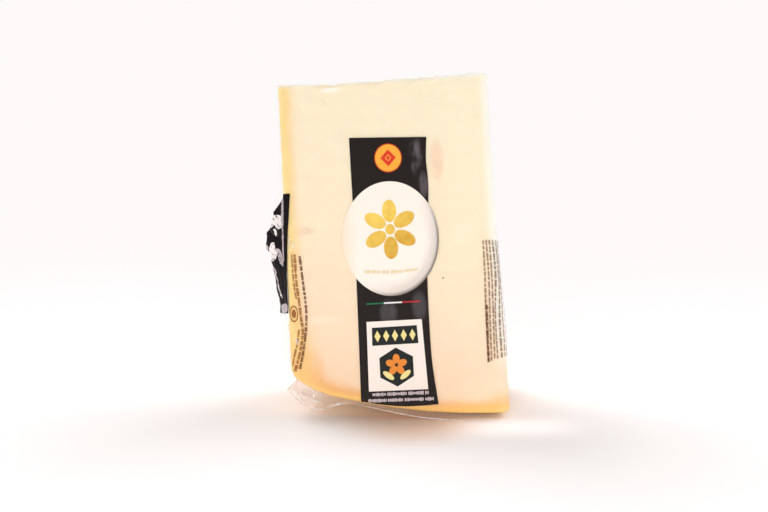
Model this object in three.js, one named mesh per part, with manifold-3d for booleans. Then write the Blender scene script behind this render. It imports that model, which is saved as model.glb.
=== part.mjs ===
// A wedge of hard grana cheese in its clear shrink bag, with the printed fields on the bag as thin skins.
// Millimetres, +Z up. The front cut face, with the label, looks towards -Y and the wheel's flat rind towards -X.
// The wedge is half a wheel high. It stands on the wheel's rounded side with its point up, and leans a little
// to -X, where the loose end of the bag props it.
import * as THREE from 'three';
import { mergeVertices } from 'three/addons/utils/BufferGeometryUtils.js';
import Module from 'manifold-3d';

// The wheel and the cuts
const WHEEL_RADIUS = 204;
const HALF_HEIGHT = 117.5;
const SIDE_PROFILE_RADIUS = 323;
const TIP_RADIUS = 15.5;
const HALF_ANGLE = THREE.MathUtils.degToRad(11);
const WHEEL_EDGE = { start: 99, drop: 5.5, power: 1.6 };
const CUT_EDGE_RADIUS = 3;
const TIP_HUMP = { at: 10, spread: 9, height: 1.1 };
const TIP_DIP = { at: 82, spread: 22, depth: 1.1 };
const CUT_SWELL = { from: 85, to: 170, height: 1.8 };

// How it stands
const LEAN = THREE.MathUtils.degToRad(3.1);
const FLAT_SPOT_DEPTH = 0.9;

// Loose film on the flat rind face, beside the front edge
const SIDE_LABEL = { top: 77, bottom: 144, front: 113.5, frontBelow: 116.4, back: -0.12 };
const FOLD_HEIGHTS = [
  [24, 0], [49, 0.9], [72, 1.8], [88, 7.5], [98, 10.6], [114, 8], [142, 5], [165, 5], [176, 6.2], [186, 5],
];
const FOLD_FRONT = -1;
const FOLD_CREST = [-0.42, -0.1];
const FOLD_BACK = 0.8;
const CREASE = { share: 0.16, period: 17, slant: 9 };

// Loose end of the bag under the wheel's edge: a lip along the front and a foot that reaches the floor
const FILM_THICKNESS = 1.2;
const LIP_TUCK = { deep: 3.5, up: 2.2 };
const LIP_DROPS = [[15, 1], [22, 4.2], [30, 4], [44, 3.4], [59, 2.8], [78, 1.8]];
const LIP_FLARE = { most: 8, until: 70 };
const EAR_OUTLINE = [[90, 194.6], [101, 197], [108, 196], [114.5, 191.5], [120.5, 184.5]];
const EAR_INSET = 2.5;
const EAR_ROOTS = [90, 99, 105, 110, 113.5];
const FOOT_ROOTS = [-0.6, -0.2, 0.2, 0.7];
const FOOT = { x: -95, front: 0, back: 27, inset: 4, fold: 0.45 };
const FILM_GRID = { lengths: 34, heights: 4 };

// Printed skins on the front face, as distance from the middle cut and distance from the wheel's axis
const SKIN_GAP = 0.35;
const SKIN_THICKNESS = 0.45;
const SIDE_SKIN = { gap: 0.45, thickness: 0.7 };
const BAND_LEFT = [[78.9, 47.9], [78.6, 100], [79, 150], [80.2, 193.4]];
const BAND_RIGHT = [[35.6, 49.7], [37, 72], [40, 140], [39.6, 172], [36.7, 198.4]];
const DISC = { across: 58.8, down: 105, halfWidth: 26.6, halfHeight: 31.9 };
const BAND_GRID = [5, 26];
const DISC_GRID = [12, 12];

const { clamp, lerp, smoothstep } = THREE.MathUtils;

// Distance from the wheel's axis to the rounded side, where the wedge is this far from the middle cut
function sideRadius(across) {
  const edge = Math.max(0, (across - WHEEL_EDGE.start) / (HALF_HEIGHT - WHEEL_EDGE.start));
  return WHEEL_RADIUS - across ** 2 / (2 * SIDE_PROFILE_RADIUS) - WHEEL_EDGE.drop * edge ** WHEEL_EDGE.power;
}

// Distance from the wheel's axis to the blunt tip, whose edge is a little uneven
function tipRadius(across) {
  const hump = TIP_HUMP.height * Math.exp(-(((across - TIP_HUMP.at) / TIP_HUMP.spread) ** 2));
  const dip = TIP_DIP.depth * Math.exp(-(((across - TIP_DIP.at) / TIP_DIP.spread) ** 2));
  return TIP_RADIUS - hump + dip;
}

// Half the wedge's width, along the arc
const halfArc = (radius) => radius * HALF_ANGLE;

// Height in a table of [place, height], eased between its rows
function fromTable(table, place) {
  const next = table.findIndex(([at]) => at > place);
  if (next === 0) return table[0][1];
  if (next < 0) return table.at(-1)[1];
  const [from, to] = [table[next - 1], table[next]];
  return lerp(from[1], to[1], smoothstep(place, from[0], to[0]));
}

// How far the loose film stands off the flat rind face
function foldHeight(share, radius) {
  const rise = smoothstep(share, FOLD_FRONT, FOLD_CREST[0]);
  const fall = 1 - smoothstep(share, FOLD_CREST[1], FOLD_BACK);
  const phase = (radius + CREASE.slant * share) / CREASE.period;
  const crease = 1 - CREASE.share * Math.abs(2 * (phase - Math.floor(phase)) - 1);
  return fromTable(FOLD_HEIGHTS, radius) * rise * fall * crease;
}

// Height of the wheel's axis over the floor at the middle cut, with the side's lowest line sunk by the flat spot
const AXIS_HEIGHT = (() => {
  const lowest = SIDE_PROFILE_RADIUS * Math.tan(LEAN);
  return lowest * Math.sin(LEAN) + sideRadius(lowest) * Math.cos(LEAN) - FLAT_SPOT_DEPTH;
})();

// From distance across, arc and radius in the wheel to x, y, z, leaning, with nothing under the floor
function standing(across, arc, radius) {
  const angle = arc / radius;
  const [x, y, z] = [-across, radius * Math.sin(angle), -radius * Math.cos(angle)];
  const up = x * Math.sin(LEAN) + z * Math.cos(LEAN) + AXIS_HEIGHT;
  return new THREE.Vector3(x * Math.cos(LEAN) - z * Math.sin(LEAN), y, Math.max(0, up));
}

// A point on the bag, from a point on the sharp-edged wedge: edges are rounded and loose film stands off
function onBag(across, arc, radius, lift = 0) {
  const round = Math.min(CUT_EDGE_RADIUS, 0.4 * halfArc(radius));
  const middle = new THREE.Vector3(
    clamp(across, round, HALF_HEIGHT - round),
    clamp(arc, round - halfArc(radius), halfArc(radius) - round),
    clamp(radius, tipRadius(across) + round, sideRadius(across) - round),
  );
  const out = new THREE.Vector3(across, arc, radius).sub(middle).setLength(round + lift).add(middle);
  const onFlatRind = clamp((out.x - HALF_HEIGHT + round) / round, 0, 1);
  const onMiddleCut = clamp((round - out.x) / round, 0, 1);
  out.x += onFlatRind * foldHeight(arc / halfArc(radius), radius);
  out.x -= onMiddleCut * CUT_SWELL.height * smoothstep(radius, CUT_SWELL.from, CUT_SWELL.to);
  return standing(...out);
}

// The same, from shares: across and down from 0 to 1, round from -1 at the front face to 1 at the back face
function onBagByShare(across, round, down, lift) {
  const distance = across * HALF_HEIGHT;
  const radius = lerp(tipRadius(distance), sideRadius(distance), down);
  return onBag(distance, round * halfArc(radius), radius, lift);
}

// Grid lines from one value to another: even, or closer together at the start or at the end
const EVEN = (t) => t;
const CLOSE_AT_START = (t) => 1 - Math.cos((Math.PI * t) / 2);
const CLOSE_AT_END = (t) => Math.sin((Math.PI * t) / 2);
const gridLines = (from, to, count, spacing) => (
  Array.from({ length: count + 1 }, (_, i) => lerp(from, to, spacing(i / count)))
);

// A closed geometry from a list of quads, each four points that run anticlockwise seen from outside
function fromQuads(quads) {
  const corners = quads.flatMap(([a, b, c, d]) => [a, b, c, a, c, d]);
  const soup = new THREE.BufferGeometry().setFromPoints(corners);
  return mergeVertices(soup, 1e-4);
}

// Quads of a grid of points; turned over if flip is set
function gridQuads(rows, columns, at, flip) {
  const quads = [];
  for (let i = 0; i < rows; i += 1) {
    for (let j = 0; j < columns; j += 1) {
      const quad = [at(i, j), at(i + 1, j), at(i + 1, j + 1), at(i, j + 1)];
      quads.push(flip ? quad.reverse() : quad);
    }
  }
  return quads;
}

// A thin closed plate between two grids of points, the near one facing out
function plate(rows, columns, far, near) {
  const rim = (count, place) => gridQuads(count, 1, (i, j) => (j ? near : far)(...place(i)), false);
  return fromQuads([
    ...gridQuads(rows, columns, near, false),
    ...gridQuads(rows, columns, far, true),
    ...rim(columns, (i) => [0, columns - i]),
    ...rim(columns, (i) => [rows, i]),
    ...rim(rows, (i) => [i, 0]),
    ...rim(rows, (i) => [rows - i, columns]),
  ]);
}

// Two closed geometries joined into one
async function joined(first, second) {
  const wasm = await Module();
  wasm.setup();
  const solid = (geometry) => new wasm.Manifold(new wasm.Mesh({
    numProp: 3,
    vertProperties: new Float32Array(geometry.attributes.position.array),
    triVerts: new Uint32Array(geometry.index.array),
  }));
  const whole = solid(first).add(solid(second)).getMesh();
  const geometry = new THREE.BufferGeometry();
  geometry.setAttribute('position', new THREE.BufferAttribute(whole.vertProperties, 3));
  geometry.setIndex(new THREE.BufferAttribute(whole.triVerts, 1));
  return geometry;
}

// The wrapped wedge, on grid lines that pass through the edges of the side label
const labelRow = (radius) => (radius - TIP_RADIUS) / (sideRadius(SIDE_LABEL.front) - TIP_RADIUS);
const downInLabel = gridLines(labelRow(SIDE_LABEL.top), labelRow(SIDE_LABEL.bottom), 12, EVEN);
const acrossInLabel = gridLines(SIDE_LABEL.front / HALF_HEIGHT, 1, 3, EVEN);
const roundInLabel = gridLines(-1, SIDE_LABEL.back, 7, CLOSE_AT_START);
const acrossLines = [...gridLines(0, acrossInLabel[0], 14, CLOSE_AT_START), ...acrossInLabel.slice(1)];
const roundLines = [...roundInLabel, ...gridLines(SIDE_LABEL.back, 1, 6, CLOSE_AT_END).slice(1)];
const downLines = [
  ...gridLines(0, downInLabel[0], 6, CLOSE_AT_START),
  ...downInLabel.slice(1),
  ...gridLines(downInLabel.at(-1), 1, 8, CLOSE_AT_END).slice(1),
];

function wrappedWedge() {
  const lastAcross = acrossLines.length - 1;
  const lastRound = roundLines.length - 1;
  const lastDown = downLines.length - 1;
  const at = (i, j, k) => onBagByShare(acrossLines[i], roundLines[j], downLines[k]);
  return fromQuads([
    ...gridQuads(lastAcross, lastDown, (i, k) => at(i, 0, k), false),
    ...gridQuads(lastAcross, lastDown, (i, k) => at(i, lastRound, k), true),
    ...gridQuads(lastRound, lastDown, (j, k) => at(0, j, k), true),
    ...gridQuads(lastRound, lastDown, (j, k) => at(lastAcross, j, k), false),
    ...gridQuads(lastAcross, lastRound, (i, j) => at(i, j, 0), true),
    ...gridQuads(lastAcross, lastRound, (i, j) => at(i, j, lastDown), false),
  ]);
}

// The loose end of the bag: a lip along the front edge, an ear at the left corner and a foot behind it
function looseEnd() {
  const onFront = (across, radius, inset) => (
    standing(across, inset - halfArc(sideRadius(Math.min(across, HALF_HEIGHT))), radius)
  );
  const tucked = (across) => onFront(across, sideRadius(across) - LIP_TUCK.up, LIP_TUCK.deep);
  const onRind = (round) => {
    const across = HALF_HEIGHT - LIP_TUCK.deep;
    const radius = sideRadius(across) - LIP_TUCK.up;
    return standing(across, round * halfArc(radius), radius);
  };
  const flare = (across) => LIP_FLARE.most * Math.max(0, 1 - across / LIP_FLARE.until);
  const foot = (share) => new THREE.Vector3(
    FOOT.x + FOOT.inset * share,
    lerp(FOOT.front, FOOT.back, share),
    0,
  );
  const top = new THREE.CatmullRomCurve3([
    ...LIP_DROPS.map(([across]) => tucked(across)),
    ...EAR_ROOTS.map(tucked),
    ...FOOT_ROOTS.map(onRind),
  ], false, 'centripetal');
  const corner = onFront(...EAR_OUTLINE.at(-1), EAR_INSET);
  const bottom = new THREE.CatmullRomCurve3([
    ...LIP_DROPS.map(([across, drop]) => (
      onFront(across, sideRadius(across) + drop, EAR_INSET - flare(across))
    )),
    ...EAR_OUTLINE.map(([across, radius]) => onFront(across, radius, EAR_INSET)),
    corner.clone().lerp(foot(0), FOOT.fold),
    foot(0),
    foot(0.5),
    foot(1),
  ], false, 'centripetal');
  const { lengths, heights } = FILM_GRID;
  const middle = (i, j) => {
    const [t, s] = [i / lengths, j / heights];
    return top.getPoint(t).lerp(bottom.getPoint(t), s);
  };
  const normal = (i, j) => {
    const along = middle(Math.min(i + 1, lengths), j).sub(middle(Math.max(i - 1, 0), j));
    const down = middle(i, Math.min(j + 1, heights)).sub(middle(i, Math.max(j - 1, 0)));
    return along.cross(down).normalize();
  };
  const side = (sign) => (i, j) => {
    const point = middle(i, j).addScaledVector(normal(i, j), (sign * FILM_THICKNESS) / 2);
    point.z = Math.max(0, point.z);
    return point;
  };
  return plate(lengths, heights, side(-1), side(1));
}

// A printed skin on the front face: place gives distance across and radius from two shares
function frontSkin(rows, columns, place, layer) {
  const sheet = (lift) => (i, j) => {
    const [across, radius] = place(i / rows, j / columns);
    return onBag(across, -halfArc(radius), radius, lift);
  };
  const lowest = SKIN_GAP + layer * (SKIN_GAP + SKIN_THICKNESS);
  return plate(rows, columns, sheet(lowest), sheet(lowest + SKIN_THICKNESS));
}

function labelBand() {
  const curve = (points) => new THREE.SplineCurve(points.map((point) => new THREE.Vector2(...point)));
  const [right, left] = [curve(BAND_RIGHT), curve(BAND_LEFT)];
  const place = (across, down) => right.getPoint(down).lerp(left.getPoint(down), across).toArray();
  return frontSkin(...BAND_GRID, place, 0);
}

// An ellipse, as a square grid drawn out to a round outline
function labelDisc() {
  const place = (across, down) => {
    const [u, v] = [2 * across - 1, 2 * down - 1];
    return [
      DISC.across + DISC.halfWidth * u * Math.sqrt(1 - v ** 2 / 2),
      DISC.down + DISC.halfHeight * v * Math.sqrt(1 - u ** 2 / 2),
    ];
  };
  return frontSkin(...DISC_GRID, place, 1);
}

// The side label goes round the front edge and over the loose film, on the bag's own grid lines
function sideLabel() {
  const onFront = acrossInLabel.length - 1;
  const rows = downInLabel.length - 1;
  const sheet = (lift) => (i, j) => {
    if (i > onFront) return onBagByShare(1, roundInLabel[i - onFront], downInLabel[j], lift);
    const start = lerp(SIDE_LABEL.front, SIDE_LABEL.frontBelow, j / rows) / HALF_HEIGHT;
    return onBagByShare(lerp(start, 1, i / onFront), -1, downInLabel[j], lift);
  };
  const { gap, thickness } = SIDE_SKIN;
  return plate(onFront + roundInLabel.length - 1, rows, sheet(gap), sheet(gap + thickness));
}

function piece(name, geometry, color, roughness) {
  const mesh = new THREE.Mesh(geometry, new THREE.MeshStandardMaterial({ color, roughness, metalness: 0 }));
  mesh.name = name;
  return mesh;
}

const wedge = new THREE.Group();
wedge.add(
  piece('sealed_bag', await joined(wrappedWedge(), looseEnd()), 0xfde3bf, 0.3),
  piece('label_band', labelBand(), 0x372b2b, 0.35),
  piece('label_disc', labelDisc(), 0xfbf0e8, 0.3),
  piece('side_label', sideLabel(), 0x2a2526, 0.3),
);

// The origin is under the middle of the whole, on the floor
const middleOfBox = new THREE.Box3().setFromObject(wedge, true).getCenter(new THREE.Vector3());
wedge.position.set(-middleOfBox.x, -middleOfBox.y, 0);

export default wedge;
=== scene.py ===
import math

import bmesh
import bpy
import numpy as np
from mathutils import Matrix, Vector


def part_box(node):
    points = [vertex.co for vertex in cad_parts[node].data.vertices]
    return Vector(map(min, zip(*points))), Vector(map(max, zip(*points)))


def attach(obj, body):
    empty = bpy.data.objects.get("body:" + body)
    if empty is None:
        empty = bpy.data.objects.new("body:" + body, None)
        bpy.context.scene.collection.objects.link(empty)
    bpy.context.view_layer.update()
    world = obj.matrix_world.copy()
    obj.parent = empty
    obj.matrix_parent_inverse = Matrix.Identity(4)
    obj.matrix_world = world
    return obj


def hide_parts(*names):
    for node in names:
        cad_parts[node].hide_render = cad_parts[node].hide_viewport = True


# A wedge of hard cheese in a clear shrunk bag with printed labels, standing on its rind.
# Shapes are worked out in millimetres, as the wheel is measured, and add_piece turns them into metres.
# Across is the distance from the middle cut, radius the distance from the wheel's axis, and arc the
# distance round the wheel from the middle of the wedge, negative at the front.

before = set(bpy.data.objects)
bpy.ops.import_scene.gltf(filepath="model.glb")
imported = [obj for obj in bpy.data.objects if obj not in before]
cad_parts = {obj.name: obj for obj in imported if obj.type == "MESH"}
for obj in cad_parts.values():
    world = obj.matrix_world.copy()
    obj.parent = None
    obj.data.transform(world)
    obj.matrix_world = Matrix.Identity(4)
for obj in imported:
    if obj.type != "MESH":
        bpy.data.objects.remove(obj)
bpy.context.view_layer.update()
MM = 0.001

# The wheel and the cuts
WHEEL_RADIUS = 204
HALF_HEIGHT = 117.5
SIDE_PROFILE_RADIUS = 323
TIP_RADIUS = 15.5
HALF_ANGLE = math.radians(11)
WHEEL_EDGE_START, WHEEL_EDGE_DROP, WHEEL_EDGE_POWER = 99, 5.5, 1.6
CUT_EDGE_RADIUS = 3
TIP_HUMP_AT, TIP_HUMP_SPREAD, TIP_HUMP_HEIGHT = 10, 9, 1.1
TIP_DIP_AT, TIP_DIP_SPREAD, TIP_DIP_DEPTH = 82, 22, 1.1
CUT_SWELL_FROM, CUT_SWELL_TO, CUT_SWELL_HEIGHT = 85, 170, 1.8

# How it stands
LEAN = math.radians(3.1)
FLAT_SPOT_DEPTH = 0.9

# Loose film on the flat rind face, as radius and height
FOLD_HEIGHTS = [
    (24, 0), (49, 0.9), (72, 1.8), (88, 7.5), (98, 10.6), (114, 8), (142, 5), (165, 5), (176, 6.2), (186, 5),
]
FOLD_FRONT, FOLD_CREST_FRONT, FOLD_CREST_BACK, FOLD_BACK = -1, -0.42, -0.1, 0.8
CREASE_SHARE, CREASE_PERIOD, CREASE_SLANT = 0.16, 17, 9

# Loose end of the bag: a lip under the front edge, an ear at the left corner and a foot on the floor
TUCK_DEEP, TUCK_UP = 3.5, 2.2
LIP_DROPS = [(15, 1), (22, 4.2), (30, 4), (44, 3.4), (59, 2.8), (78, 1.8)]
LIP_FLARE, LIP_FLARE_UNTIL = 8, 70
EAR_OUTLINE = [(90, 194.6), (101, 197), (108, 196), (114.5, 191.5), (120.5, 184.5)]
EAR_INSET = 2.5
EAR_ROOTS = [90, 99, 105, 110, 113.5]
FOOT_ROOTS = [-0.6, -0.2, 0.2, 0.7]
FOOT_X, FOOT_FRONT, FOOT_BACK, FOOT_INSET, FOOT_FOLD = -95, 0, 27, 4, 0.45
END_CRUMPLE_HEIGHT, END_CRUMPLE_LENGTH = 0.8, 17
END_HALF_THICKNESS = 0.08

# Ripples of the shrunk film, as height, length and seed, and its pleats, as height and reach from an edge
FILM_LIFT = 0.1
RIPPLES = [(0.07, 34, 3), (0.025, 12, 4)]
SIDE_PLEAT_HEIGHT, SIDE_PLEAT_REACH = 0.3, 14
TIP_PLEAT_HEIGHT, TIP_PLEAT_REACH = 0.3, 20
BACK_FOLD_HEIGHT, BACK_FOLD_LENGTH = 0.5, 46
CRUMPLE_HEIGHT, CRUMPLE_LENGTH = 0.5, 16

# Folds of the film that show as pale lines, whitish partly as a double layer of film and partly as a painted
# glint, each a path and a width. On the loose end of the bag a path is in shares along it and down it, and on
# the front in distance along it and radius.
CREASE_HEIGHT, CREASE_EDGE_DROP = 0.3, 0.15
CREASE_STEP, END_CREASE_STEP = 0.3, 0.004
FRONT_CREASE_LIFT, BACK_CREASE_LIFT = 0.2, 0.25
END_CREASES = [
    ([(0.7, 0.76), (0.67, 0.8), (0.635, 0.85), (0.6, 0.88)], 1.5),
    ([(0.61, 0.88), (0.565, 0.93), (0.53, 0.96), (0.49, 0.96)], 1.1),
    ([(0.49, 0.84), (0.44, 0.88), (0.405, 0.86)], 0.7),
    ([(0.49, 0.96), (0.45, 0.96), (0.42, 0.96)], 0.6),
    ([(0.38, 0.94), (0.3, 0.94), (0.23, 0.95), (0.17, 0.96), (0.1, 0.96)], 0.7),
    ([(0.56, 0.22), (0.562, 0.36), (0.563, 0.5)], 1.2),
    ([(0.652, 0.3), (0.64, 0.5), (0.632, 0.65)], 0.9),
    ([(0.58, 0.7), (0.55, 0.6), (0.52, 0.66), (0.5, 0.8)], 0.7),
    ([(0.69, 0.3), (0.69, 0.55), (0.67, 0.72)], 0.8),
]
FRONT_CREASES = [
    ([(118.6, 148), (119, 160), (118.6, 171)], 0.9),
    ([(114, 156.5), (113, 158.5), (112.5, 161)], 1.1),
    ([(113.2, 103), (112.6, 106), (112.4, 109.5)], 1.2),
    ([(115.2, 100), (114.8, 104), (114.6, 108)], 0.8),
]
BACK_CREASE_COUNT = 16
SEAM_ACROSS, SEAM_SWAY, SEAM_HALF_WIDTH, SEAM_LINE_WIDTH = 60, 1.5, 4, 1.1

# Surface of the cheese, as depths
KNIFE_MARK_DEPTH, PIT_DEPTH = 0.1, 0.35
TEAR_DEPTH, TEAR_REACH = 0.7, 7

# Film, cheese and print, one over the other
CHEESE_UNDER_FILM = 0.25
PRINT_GAP = 0.1
PRINT_THICKNESS = 0.06

# Printed fields on the front, as distance across and radius
BAND_LEFT = [(78.9, 47.9), (78.6, 100), (79, 150), (79.6, 193.9)]
BAND_RIGHT = [(36, 49.7), (36.9, 62.5), (36.5, 79.3), (39.4, 120), (40, 150), (39.6, 174), (37.4, 197)]
BAND_SAG = 1.5
DISC_CENTRE, DISC_RADII = (58.8, 105), (26.6, 31.7)
SEAL_CENTRE, SEAL_RADII = (57.8, 60.3), (7.7, 8.1)
SEAL_RIM_FROM, SEAL_FIELD_TO = 0.88, 0.93
LOZENGE_RADII, LOZENGE_FROM, LOZENGE_HEART_RADII = (4.3, 4.7), 0.42, (1.2, 1.3)
ROSETTE_CENTRE, ROSETTE_HEART_RADII = (58.8, 100), (2.6, 2.9)
ROSETTE_PETALS, ROSETTE_REACH, ROSETTE_PETAL_RADII = 6, (9.2, 10.2), (3.9, 6.2)
LINE_RADIUS, LINE_WIDTH = 140.4, 0.8
LINE_ENDS = (73.9, 64.3, 54.4, 44.5)
PANEL = ((74.4, 150.2), (44.1, 150.2), (75, 188.2), (42.6, 188.5))
PANEL_STRIP = ((71.6, 153.6), (47, 153.4), (71.9, 163.4), (46.6, 163.2))
BEAD_COUNT, FIRST_BEAD, BEAD_STEP, BEAD_RADII = 5, (49.6, 158.4), 4.8, (1.7, 3.2)
FIELD_CENTRE, FIELD_RADII = (59.2, 175.6), (10.6, 10.6)
FLOWER_RISE, FLOWER_PETALS, FLOWER_REACH, FLOWER_PETAL_RADII = 1.2, 5, (3.4, 3.4), (1.9, 2.6)
LEAF_PLACE, LEAF_RADII, LEAF_TURN = (4.6, 4.4), (1.5, 3.6), 0.9

# Lines of small print on the front, as distance along it and radius
FOOT_LINES = [[(73.2, 190), (41.8, 190.3)], [(75.6, 193.2), (39.8, 193.8)]]
DISC_LINE = [(74, 122.6), (58.8, 123.6), (44.5, 122.8)]
RIGHT_LINE_COUNT, RIGHT_LINE_STEP, RIGHT_LINE_SWAY = 7, 1.72, 0.4
RIGHT_LINE_START, RIGHT_LINE_END = (8, 108.8), (8.9, 175.8)
RIGHT_BOLD_LINE = [(8.2, 144.5), (8.5, 158), (8.8, 175.6)]
LEFT_BOLD_LINE = [
    (109.4, 112.2), (108.3, 125.7), (107.2, 140.5), (107.7, 151.7), (109.7, 164.1), (112.4, 175.1),
]
LEFT_LINE = [
    (112.2, 111), (111.8, 126.2), (110.9, 136.1), (110.2, 146.1),
    (109.6, 153.8), (111.3, 163.6), (114.9, 175.4),
]
LEFT_UPPER_LINE = [(113.8, 110.9), (113.4, 125), (112.4, 134.5), (111.6, 137.6)]
LEFT_LOWER_LINE = [(111.6, 152.6), (113.1, 160.8), (115.1, 167.8), (116.3, 174.8)]
RING_CENTRE, RING_RADII, RING_FROM, RING_DOT_RADII = (114, 143.7), (2.3, 4.6), 0.82, (1.2, 2.4)

# The camera: level with the photograph's, in the frame of 768 by 512
IMAGE_SIZE = (768, 512)
SENSOR_WIDTH = 36
FOCAL_LENGTH = 52.06
CAMERA_DISTANCE = 0.633
CAMERA_ELEVATION = math.radians(7)
TARGET_PIXEL = (391.55, 242.79)
TARGET_ACROSS, TARGET_RADIUS = 58.5, 110 * math.cos(HALF_ANGLE)

# The stage and its light, in metres
FLOOR_RADIUS, FLOOR_MATT_TO = 1.0, 0.3
WALL_FOOT_RADIUS, WALL_BEND, WALL_HEIGHT = 1.5, 0.9, 1.2
SKY_FRONT, SKY_BACK = 0.12, 0.72
KEYS = [("right_key", (0.85, 0.55, 0.7), 1.3), ("left_key", (-0.6, 0.68, 0.78), 1.7)]
KEY_SPREAD = math.radians(45)
FILL_PLACE, FILL_AIM, FILL_SIZE, FILL_POWER = (-0.1, -1.3, 0.26), (0, 0, 0.09), (1.3, 0.5), 12.2
GLOW_PLACE, GLOW_SIZE, GLOW_POWER = (0.066, -0.05, 0.03), (0.06, 0.02), 0.0018
GLOW_COLOUR, GLOW_SPREAD = (1, 0.93, 0.9), math.radians(90)


def ease(value, low, high):
    """0 below low, 1 above high, and a smooth step between them."""
    share = np.clip((value - low) / (high - low), 0, 1)
    return share * share * (3 - 2 * share)


def waves(points, length, seed, count=7):
    """A soft uneven field, about -1 to 1: sine waves of about this length that run in random directions."""
    draw = np.random.default_rng(seed)
    total = 0
    for _ in range(count):
        way = draw.normal(size=3)
        way *= 2 * math.pi / (length * draw.uniform(0.7, 1.4) * np.linalg.norm(way))
        total = total + np.sin(points @ way + draw.uniform(0, 2 * math.pi))
    return total / math.sqrt(count)


def folds(points, length, seed, count=5):
    """Flat facets between sharp creases, about -1 to 1: triangle waves that run in random directions."""
    draw = np.random.default_rng(seed)
    total = 0
    for _ in range(count):
        way = draw.normal(size=3)
        way /= length * draw.uniform(0.6, 1.5) * np.linalg.norm(way)
        phase = points @ way + draw.uniform(0, 1)
        total = total + 4 * np.abs(phase - np.round(phase)) - 1
    return total / math.sqrt(count)


def smooth_line(points, shares):
    """Places at these shares, 0 to 1, of a smooth line through the points."""
    points = np.asarray(points, float)
    padded = np.concatenate([2 * points[:1] - points[1:2], points, 2 * points[-1:] - points[-2:-1]])
    place = np.asarray(shares) * (len(points) - 1)
    step = np.minimum(place.astype(int), len(points) - 2)
    t = (place - step)[:, None]
    before, start, end, after = (padded[step + k] for k in range(4))
    square = (2 * before - 5 * start + 4 * end - after) * t ** 2
    cube = (3 * start - before - 3 * end + after) * t ** 3
    return start + ((end - before) * t + (square + cube)) / 2


# Shape of the wedge

def side_radius(across):
    edge = np.maximum(0, (across - WHEEL_EDGE_START) / (HALF_HEIGHT - WHEEL_EDGE_START))
    rounded = WHEEL_RADIUS - across ** 2 / (2 * SIDE_PROFILE_RADIUS)
    return rounded - WHEEL_EDGE_DROP * edge ** WHEEL_EDGE_POWER


def tip_radius(across):
    hump = TIP_HUMP_HEIGHT * np.exp(-(((across - TIP_HUMP_AT) / TIP_HUMP_SPREAD) ** 2))
    dip = TIP_DIP_DEPTH * np.exp(-(((across - TIP_DIP_AT) / TIP_DIP_SPREAD) ** 2))
    return TIP_RADIUS - hump + dip


def half_arc(radius):
    return radius * HALF_ANGLE


def fold_height(share, radius):
    """How far the loose film stands off the flat rind face."""
    table = np.array(FOLD_HEIGHTS, float)
    step = np.clip(np.searchsorted(table[:, 0], radius, "right") - 1, 0, len(table) - 2)
    part = ease(radius, table[step, 0], table[step + 1, 0])
    height = table[step, 1] + (table[step + 1, 1] - table[step, 1]) * part
    rise = ease(share, FOLD_FRONT, FOLD_CREST_FRONT)
    fall = 1 - ease(share, FOLD_CREST_BACK, FOLD_BACK)
    phase = (radius + CREASE_SLANT * share) / CREASE_PERIOD
    crease = 1 - CREASE_SHARE * np.abs(2 * (phase - np.floor(phase)) - 1)
    return height * rise * fall * crease


LOWEST_ACROSS = SIDE_PROFILE_RADIUS * math.tan(LEAN)
AXIS_HEIGHT = (
    LOWEST_ACROSS * math.sin(LEAN) + side_radius(LOWEST_ACROSS) * math.cos(LEAN) - FLAT_SPOT_DEPTH
)


def stand(across, arc, radius):
    """From the wheel's measures to x, y, z, leaning, with nothing under the floor."""
    across, arc, radius = np.broadcast_arrays(across, arc, radius)
    angle = arc / radius
    x, y, z = -across, radius * np.sin(angle), -radius * np.cos(angle)
    up = x * math.sin(LEAN) + z * math.cos(LEAN) + AXIS_HEIGHT
    return np.stack([x * math.cos(LEAN) - z * math.sin(LEAN), y, np.maximum(0, up)], -1)


def on_wedge(across, arc, radius, lift=0.0, loose=1.0):
    """A point of the wedge with rounded edges; loose says how much the film stands off the flat rind."""
    across, arc, radius = np.broadcast_arrays(across, arc, radius)
    half = half_arc(radius)
    rounding = np.minimum(CUT_EDGE_RADIUS, 0.4 * half)
    point = np.stack([across, arc, radius], -1)
    middle = np.stack([
        np.clip(across, rounding, HALF_HEIGHT - rounding),
        np.clip(arc, rounding - half, half - rounding),
        np.clip(radius, tip_radius(across) + rounding, side_radius(across) - rounding),
    ], -1)
    out = point - middle
    out /= np.maximum(np.linalg.norm(out, axis=-1, keepdims=True), 1e-9)
    out = middle + out * (rounding + lift)[..., None]
    on_flat_rind = np.clip((out[..., 0] - HALF_HEIGHT + rounding) / rounding, 0, 1)
    on_middle_cut = np.clip((rounding - out[..., 0]) / rounding, 0, 1)
    swell = CUT_SWELL_HEIGHT * ease(radius, CUT_SWELL_FROM, CUT_SWELL_TO)
    shift = on_flat_rind * loose * fold_height(arc / half, radius) - on_middle_cut * swell
    return stand(out[..., 0] + shift, out[..., 1], out[..., 2])


def by_share(across, around, down):
    """Measures in the wheel from shares: 0 to 1 across and down, -1 to 1 from the front to the back."""
    distance = across * HALF_HEIGHT
    radius = tip_radius(distance) + (side_radius(distance) - tip_radius(distance)) * down
    return distance, around * half_arc(radius), radius


def place_from_frame():
    """Where the wheel's middle lies in the frame, from the bag's box in it."""
    shares = np.linspace(0, 1, 60)
    grid = np.meshgrid([0.0, 0.1, 0.15, 0.2], 2 * shares - 1, shares, indexing="ij")
    points = on_wedge(*by_share(*grid), loose=0.0).reshape(-1, 3)
    high = np.array(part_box("sealed_bag")[1]) / MM
    return np.array([high[0] - points[:, 0].max(), high[1] - points[:, 1].max(), 0])


PLACE = place_from_frame()


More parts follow.
